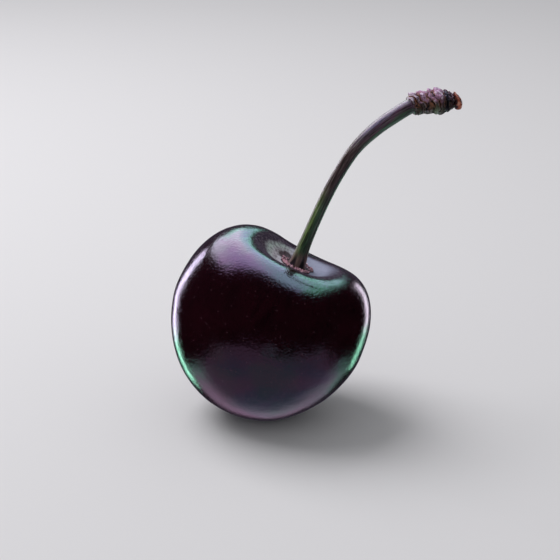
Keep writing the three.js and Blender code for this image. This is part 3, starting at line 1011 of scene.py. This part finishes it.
def strip_glow(azimuth, elevation):
    """Two upright strips behind the fruit, lilac on the left, nearly white on the right, both mint low down.
    A dim haze between them, right behind the fruit, keeps its outline from going black."""
    haze = eased(np.abs(azimuth), 145.0, 165.0) * (1.0 - eased(np.abs(elevation), 25.0, 60.0))
    glow = (haze * HAZE_LEVEL)[..., None] * np.array(HAZE_LILAC)
    low = eased(-elevation, 19.0, 27.0)
    for middle, half, slant, softness, level, colour in STRIPS:
        strip = softbox(azimuth - slant * elevation, elevation, middle, half, softness)
        glow = glow + (strip * level)[..., None] * tinted(colour, (STRIP_MINT, low))
    return glow


def table_glow(direction):
    """The dim table below: side and front are where the direction meets a level plane one unit down. It
    widens towards the front, is brighter along its back edge, blue-grey in the middle and mauve round it,
    and mint at its back corners. Noise makes its edges uneven and tints it teal and pink in patches."""
    downward = np.maximum(-direction[..., 2], 1e-3)
    side = direction[..., 0] / downward
    front = -direction[..., 1] / downward
    place = np.stack([side, front, 0 * side], axis=-1)
    patches = layered_noise(place, 0.9, 81)
    hue = layered_noise(place, 0.8, 91) + 0.25 * np.clip(side, -1.0, 1.0)
    width = 1.25 + 0.62 * np.clip(front, 0.0, 1.6) + 0.25 * patches
    front_edge = 2.8 - 0.55 * np.clip(side, -1.0, 1.6) + 1.7 * patches
    off_table = np.maximum(np.abs(side + 0.05) - width, np.maximum((front - front_edge) * 0.6, -0.72 - front))
    table = (1.0 - eased(off_table, -0.22, 0.18)) * (direction[..., 2] < 0.0)
    rim = eased(-front, -0.1, 0.35)
    mauve = eased(front, 1.0, 2.4) + eased(np.abs(side), 0.7, 1.5) + 0.6 * patches
    colour = tinted(
        TABLE_BLUE,
        (TABLE_MAUVE, np.clip(mauve, 0.0, 1.0)),
        (TABLE_RIM, rim),
        (tinted(TABLE_TEAL, (TABLE_TEAL_RIM, rim)), 0.9 * eased(hue, 0.0, 0.35)),
        (tinted(TABLE_PINK, (TABLE_PINK_RIM, rim)), 0.9 * eased(-hue, 0.0, 0.35)),
        (TABLE_CORNER, eased(np.abs(side), 0.7, 1.2) * rim),
    )
    return (table * (0.65 + 0.68 * rim + 0.14 * patches))[..., None] * colour


def add_glow_dome(light, centre):
    """A dome of light that only reflections see, so that the fruit mirrors the studio of the photograph."""
    direction = sphere_rings(DOME_ROWS, DOME_SIDES)
    poles = np.array([[0.0, 0.0, -DOME_RADIUS], [0.0, 0.0, DOME_RADIUS]]) + centre
    glow = {"glow": studio_glow(direction)}
    mesh = grid_mesh("studio_glow_dome", direction * DOME_RADIUS + centre, poles, glow)
    finish = Finish("studio_glow")
    values = {"Color": finish.vector("glow"), "Strength": light}
    mesh.materials.append(finish.done(finish.node("ShaderNodeEmission", None, values)))
    dome = add_object(mesh)
    dome.visible_camera = False
    dome.visible_diffuse = False
    dome.visible_shadow = False
    dome.visible_transmission = False


def add_floor(colour):
    """A plain round floor, which reflections don't see."""
    angle = np.linspace(0.0, 2.0 * math.pi, FLOOR_SIDES, endpoint=False)
    mesh = bpy.data.meshes.new("studio_floor")
    mesh.from_pydata(wrapped(angle, FLOOR_RADIUS, 0.0).tolist(), [], [list(range(FLOOR_SIDES))])
    finish = Finish("studio_floor")
    values = {"Base Color": (*colour, 1.0), "Roughness": 0.9, "Specular IOR Level": 0.0}
    mesh.materials.append(finish.done(finish.surface(values)))
    floor = add_object(mesh)
    floor.visible_glossy = False


def aim(thing, place, target):
    """Stands a lamp or camera at a place and turns it to its target."""
    thing.location = place
    thing.rotation_euler = (Vector(target) - Vector(place)).to_track_quat("-Z", "Y").to_euler()


def add_key_light(power):
    """A soft square light above and behind the fruit, on its left, which reflections don't see."""
    light = bpy.data.lights.new("studio_key", "AREA")
    light.size = KEY_SIZE
    light.energy = power
    light.color = KEY_COLOUR
    lamp = add_object(light)
    lamp.visible_glossy = False
    aim(lamp, KEY_PLACE, KEY_TARGET)


def set_even_light(strength):
    """Even light from all sides, which reflections don't see."""
    world = bpy.data.worlds.new("studio_world")
    world.use_nodes = True
    background = world.node_tree.nodes["Background"]
    background.inputs["Color"].default_value = EVEN_COLOUR
    background.inputs["Strength"].default_value = strength
    world.cycles_visibility.glossy = False
    bpy.context.scene.world = world


def add_camera():
    view = bpy.data.cameras.new("studio_camera")
    view.lens = CAMERA_LENS
    view.sensor_width = CAMERA_SENSOR
    view.clip_start = 0.01
    view.clip_end = 20.0
    camera = add_object(view)
    aim(camera, CAMERA_PLACE, CAMERA_TARGET)
    bpy.context.scene.camera = camera


def build_stage(settings, sizes):
    """The pale floor, the glow that the fruit mirrors, the soft lights and the camera."""
    add_floor(settings.floor)
    add_glow_dome(settings.glow, fruit_middle(sizes))
    add_key_light(settings.key)
    set_even_light(settings.ambient)
    add_camera()
    bpy.context.scene.view_settings.view_transform = "Standard"
    bpy.context.scene.view_settings.look = "None"


def amount(name, description, default, **kind):
    return FloatProperty(name=name, description=description, default=default, **kind)


def metres(name, description, default):
    return amount(name, description, default, unit="LENGTH", precision=5, min=0.0)


def tint(name, description, default):
    shared = {"name": name, "description": description, "default": default}
    return FloatVectorProperty(**shared, subtype="COLOR", size=3, min=0.0, max=1.0)


class CherrySizes(PropertyGroup):
    fruit_radius: metres("Fruit radius", "Half the fruit's width at its widest", 0.01279)
    tip_depth: metres("Tip depth", "From the widest circle down to the tip", 0.01363)
    rim_radius: metres("Rim radius", "Radius of the hollow's rim", 0.0067)
    rim_height: metres("Rim height", "From the widest circle up to the rim", 0.00965)
    lean: amount("Lean", "How far the fruit leans to its right", math.radians(22.0), subtype="ANGLE")
    centre_height: metres("Centre height", "From the floor up to the fruit's middle", 0.0132)
    centre_aside: metres("Centre aside", "From the flat spot across to the fruit's middle", 0.00042)
    stem_radius: metres("Stem radius", "Half the stem's thickness at its thinnest", 0.000775)
    knob_radius: metres("Knob radius", "Half the thickness of the knob at its fullest", 0.00166)
    ring_outer: metres("Ring radius", "Outer radius of the ring round the stem's foot", 0.0022)
    ring_height: metres("Ring height", "Height of that ring", 0.0005)
    scale_half_height: metres("Scale height", "Half the height of the dry scale", 0.00112)
    scale_rise: metres("Scale rise", "How far the dry scale stands past the knob", 0.00098)


class CherryColours(PropertyGroup):
    skin_deep: tint("Skin", "Main colour of the skin", (0.010, 0.0016, 0.0035))
    skin_red: tint("Skin, red", "Redder clouds in the skin", (0.014, 0.0016, 0.0042))
    skin_dark: tint("Skin, dark", "Darkest streaks in the skin", (0.004, 0.0008, 0.0018))
    pore: tint("Pores", "Pale pinpricks in the skin", (0.10, 0.05, 0.06))
    # Painted reflections on the hollow's wall: the bluish colour on the right, the palest on the left and the
    # greenish one at its edge. The dark flecks break them up; the band and the red patch are dark skin.
    hollow: tint("Hollow", "Bluish paler skin right of the stem's foot", (0.29, 0.31, 0.41))
    hollow_painted_reflection: tint("Hollow, pale", "Palest skin, left of the stem's foot", (0.52, 0.50, 0.55))
    hollow_painted_mint_reflection: tint("Hollow, edge", "Greenish edge of the paler skin", (0.34, 0.50, 0.41))
    hollow_dark: tint("Hollow, dark", "Dark mottle in the paler skin", (0.10, 0.075, 0.095))
    hollow_band: tint("Hollow, band", "Dark skin between the paler skin and the rim", (0.026, 0.014, 0.026))
    hollow_red: tint("Hollow, red", "Dark red skin by the stem's foot", (0.035, 0.012, 0.014))
    lilac_sheen: tint("Lilac sheen", "Sheen of most of the skin", (0.95, 0.85, 1.0))
    mint_sheen: tint("Mint sheen", "Sheen of patches of the skin", (0.80, 1.0, 0.92))
    stem_green: tint("Stem, green", "Fresh green of the stem", (0.028, 0.080, 0.036))
    stem_under: tint("Stem, underside", "Green of the stem's underside near the knob", (0.038, 0.105, 0.052))
    # The stem's own colour differs by side, with light and shade painted in: the sunny side's yellow-green
    # and the lilac are painted lit on its top side, and the shaded side's olive is painted shade on its
    # underside and also the colour of its dark fibres.
    stem_painted_lit_side: tint("Stem, sunny side", "Yellow-green of the lower stem's paler side", (0.16, 0.25, 0.070))
    stem_dark_fibres_and_shade: tint("Stem, shaded side", "Dark olive of the stem's darker side", (0.015, 0.017, 0.011))
    stem_brown: tint("Stem, brown", "Reddish brown of the stem's middle", (0.060, 0.028, 0.034))
    stem_purple: tint("Stem, purple", "Purple of the stem near the knob", (0.10, 0.034, 0.078))
    stem_lilac_painted_lit_side: tint("Stem, lilac", "Lilac of the stem's paler side near the knob", (0.15, 0.13, 0.21))
    stem_pale: tint("Stem, fibres", "Pale fibres along the stem", (0.24, 0.24, 0.21))
    # A painted rim highlight along the stem's top and bottom edges.
    stem_painted_rim_highlight: tint("Stem, ribs", "Pale ribs along both sides of the stem", (0.32, 0.32, 0.28))
    foot_pink: tint("Stem, foot", "Pinkish brown of the stem's foot", (0.17, 0.085, 0.085))
    # Painted shade for the gaps between the foot's flutes and the knob's deepest grooves.
    gap: tint("Gaps", "Dark gaps between flutes and folds", (0.006, 0.004, 0.004))
    knob_purple: tint("Knob, purple", "Dusky purple of the knob", (0.12, 0.055, 0.085))
    # The knob's pink is painted lighter on its lit top, and its pale flakes carry painted highlights there.
    knob_pink_painted_lit_top: tint("Knob, pink", "Lilac pink of the knob's paler side", (0.40, 0.215, 0.34))
    knob_flakes_and_highlights: tint("Knob, flakes", "Pale dry flakes on the knob", (0.92, 0.76, 0.92))
    knob_brown: tint("Knob, brown", "Brown of the knob's middle", (0.038, 0.019, 0.012))
    knob_olive: tint("Knob, olive", "Olive of the knob's underside", (0.075, 0.082, 0.050))
    knob_green: tint("Knob, green", "Green patch on the knob's front", (0.13, 0.19, 0.11))
    knob_rust: tint("Knob, rust", "Orange-brown lines along the knob's grooves", (0.26, 0.10, 0.045))
    knob_end: tint("Knob, end", "Dark red-brown of the knob's end", (0.040, 0.014, 0.015))
    knob_dusk: tint("Knob, dusk", "Blue-black band before the knob's end", (0.006, 0.006, 0.009))
    tissue: tint("Ring", "Dusty pink of the torn ring", (0.50, 0.25, 0.30))
    # Dark red of the ring, which also stands as painted shade in its low and inner places.
    tissue_dark_and_shade: tint("Ring, dark", "Low places of the torn ring", (0.06, 0.025, 0.028))
    tissue_pale: tint("Ring, pale", "Palest crumbs of the torn ring", (0.78, 0.52, 0.60))
    scale_rust: tint("Scale", "Rust colour of the dry scale", (0.34, 0.062, 0.020))
    scale_dark: tint("Scale, dark", "Hollows of the dry scale", (0.035, 0.008, 0.008))
    scale_pale: tint("Scale, rim", "Torn rim of the dry scale", (0.58, 0.27, 0.18))


class CherryStage(PropertyGroup):
    floor: tint("Floor", "Colour of the plain floor", (0.72, 0.72, 0.73))
    glow: amount("Glow", "Strength of what the fruit mirrors", 0.75, min=0.0)
    key: amount("Key light", "Power of the soft light from behind", 1.3, unit="POWER")
    ambient: amount("Ambient", "Strength of the even light", 0.45, min=0.0)


class CHERRY_OT_fruit(Operator):
    """Build the fruit with its hollow and skin"""

    bl_idname = "cherry.fruit"
    bl_label = "Fruit"

    def execute(self, context):
        build_fruit(context.scene.cherry_sizes, context.scene.cherry_colours)
        return {"FINISHED"}


class CHERRY_OT_stem(Operator):
    """Build the stem from its fluted foot to its wrinkled knob"""

    bl_idname = "cherry.stem"
    bl_label = "Stem"

    def execute(self, context):
        build_stem(context.scene.cherry_sizes, context.scene.cherry_colours)
        return {"FINISHED"}


class CHERRY_OT_receptacle_ring(Operator):
    """Build the torn ring of tissue round the stem's foot"""

    bl_idname = "cherry.receptacle_ring"
    bl_label = "Receptacle ring"

    def execute(self, context):
        build_ring(context.scene.cherry_sizes, context.scene.cherry_colours)
        return {"FINISHED"}


class CHERRY_OT_end_scale(Operator):
    """Build the dry scale that curls over the end of the knob"""

    bl_idname = "cherry.end_scale"
    bl_label = "End scale"

    def execute(self, context):
        build_scale(context.scene.cherry_sizes, context.scene.cherry_colours)
        return {"FINISHED"}


class CHERRY_OT_stage(Operator):
    """Set up the pale floor, the soft light and the camera"""

    bl_idname = "cherry.stage"
    bl_label = "Stage"

    def execute(self, context):
        build_stage(context.scene.cherry_stage, context.scene.cherry_sizes)
        return {"FINISHED"}


STEPS = (CHERRY_OT_fruit, CHERRY_OT_stem, CHERRY_OT_receptacle_ring, CHERRY_OT_end_scale, CHERRY_OT_stage)


class CHERRY_PT_panel(Panel):
    """Lists the cherry's pieces and its settings"""

    bl_label = "Cherry"
    bl_idname = "CHERRY_PT_panel"
    bl_space_type = "VIEW_3D"
    bl_region_type = "UI"
    bl_category = "Cherry"

    def draw(self, context):
        for step in STEPS:
            self.layout.operator(step.bl_idname)
        for group in (context.scene.cherry_sizes, context.scene.cherry_colours, context.scene.cherry_stage):
            for name in group.bl_rna.properties.keys():
                if name not in ("rna_type", "name"):
                    self.layout.prop(group, name)


CLASSES = (CherrySizes, CherryColours, CherryStage, *STEPS, CHERRY_PT_panel)


def register():
    for one in CLASSES:
        bpy.utils.register_class(one)
    bpy.types.Scene.cherry_sizes = PointerProperty(type=CherrySizes)
    bpy.types.Scene.cherry_colours = PointerProperty(type=CherryColours)
    bpy.types.Scene.cherry_stage = PointerProperty(type=CherryStage)


def unregister():
    del bpy.types.Scene.cherry_stage
    del bpy.types.Scene.cherry_colours
    del bpy.types.Scene.cherry_sizes
    for one in reversed(CLASSES):
        bpy.utils.unregister_class(one)


def main():
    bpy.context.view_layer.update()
    register()
    bpy.ops.cherry.fruit()
    bpy.ops.cherry.stem()
    bpy.ops.cherry.receptacle_ring()
    bpy.ops.cherry.end_scale()
    bpy.ops.cherry.stage()
    bpy.context.view_layer.update()


if __name__ == "__main__":
    main()
